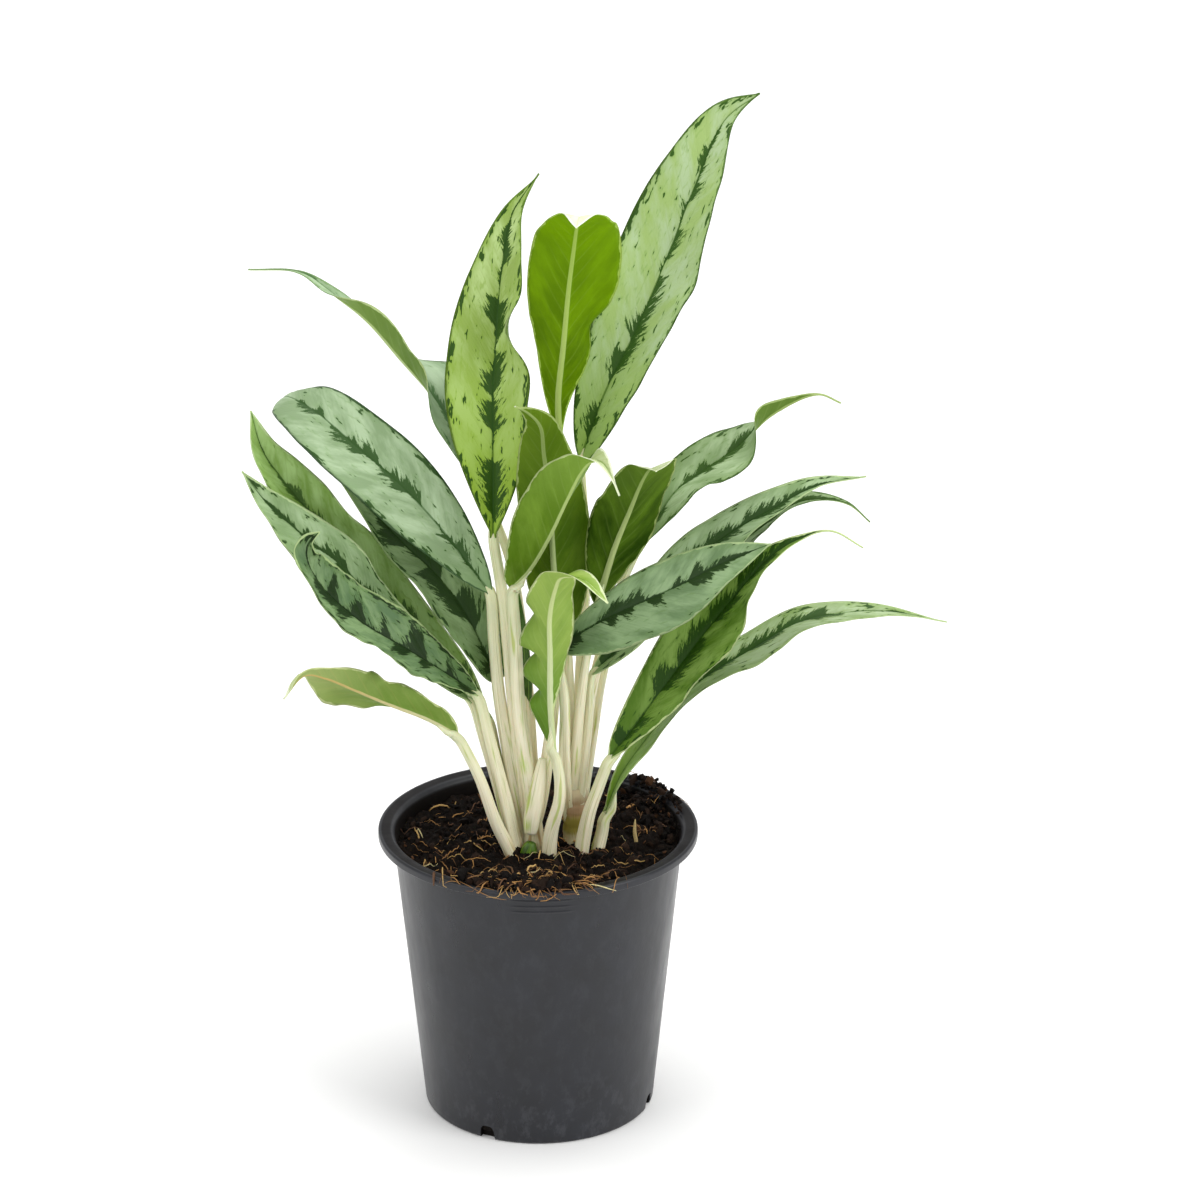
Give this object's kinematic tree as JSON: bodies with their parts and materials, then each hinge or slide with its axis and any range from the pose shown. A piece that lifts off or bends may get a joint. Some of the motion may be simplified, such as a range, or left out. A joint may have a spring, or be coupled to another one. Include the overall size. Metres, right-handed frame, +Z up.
{
  "type": "potted chinese evergreen",
  "caption": "Chinese evergreen house plant: pointed, silver-marked leaves on cream stalks in a round black nursery pot filled with soil.",
  "frame": {"origin": "centre of the underside of the pot's base, on the surface that the pot stands on", "axes": "+Z up through the middle of the pot; -Y towards the front, the side that the picture shows; +X to the right as seen from the front"},
  "size_m": [0.2615, 0.12, 0.3833],
  "materials": {
    "pot_plastic": "satin",
    "potting_soil": "matte",
    "stalk": "satin",
    "leaf_silver": "satin",
    "leaf_green": "satin",
    "leaf_underside": "satin",
    "leaf_dark_underside": "satin"
  },
  "bodies": {
    "root": {"pot": "pot_plastic", "soil": "potting_soil", "stalks_left": "stalk", "stalks_right": "stalk", "stalks_front": "stalk", "leaf_tall_right": "leaf_silver", "leaf_bright_centre": "leaf_underside", "leaf_tall_left": "leaf_silver", "leaf_far_left": "leaf_silver", "leaf_broad_left": "leaf_silver", "leaf_mid_left_back": "leaf_green", "leaf_mid_left_front": "leaf_silver", "leaf_low_left": "leaf_green", "leaf_bottom_left": "leaf_underside", "leaf_inner_left": "leaf_silver", "leaf_centre_arch": "leaf_underside", "leaf_small_front": "leaf_underside", "leaf_centre_dark": "leaf_dark_underside", "leaf_centre_right_dark": "leaf_dark_underside", "leaf_upper_right": "leaf_silver", "leaf_middle_right": "leaf_silver", "leaf_middle_right_back": "leaf_silver", "leaf_low_right": "leaf_green", "leaf_front_silver": "leaf_silver", "leaf_lowest_right": "leaf_silver"}
  },
  "joints": []
}
